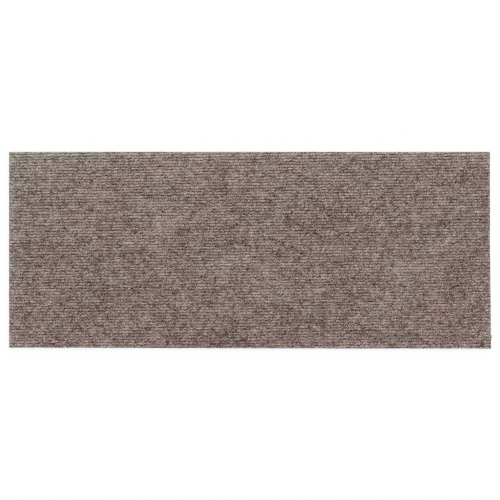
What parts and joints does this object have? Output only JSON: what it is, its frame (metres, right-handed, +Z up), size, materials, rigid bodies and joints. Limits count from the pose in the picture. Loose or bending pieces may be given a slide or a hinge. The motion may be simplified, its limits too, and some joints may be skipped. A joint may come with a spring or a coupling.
{
  "type": "stair tread mat",
  "caption": "Flat rectangular mat of ribbed needled felt that lies on one stair tread and makes it less slippery.",
  "frame": {"origin": "middle of the underside, at the centre of the overall length and depth", "axes": "+X along the mat's long edges, which its ribs follow to within a degree, across the width of the stair; +Y from the tread's nosing to its riser; +Z up, out of the ribbed face"},
  "size_m": [0.6, 0.2448, 0.0045],
  "materials": {
    "ribbed_felt": "matt, heathered taupe fibre with fine ribs"
  },
  "bodies": {
    "root": {"tread_mat": "ribbed_felt"}
  },
  "joints": []
}
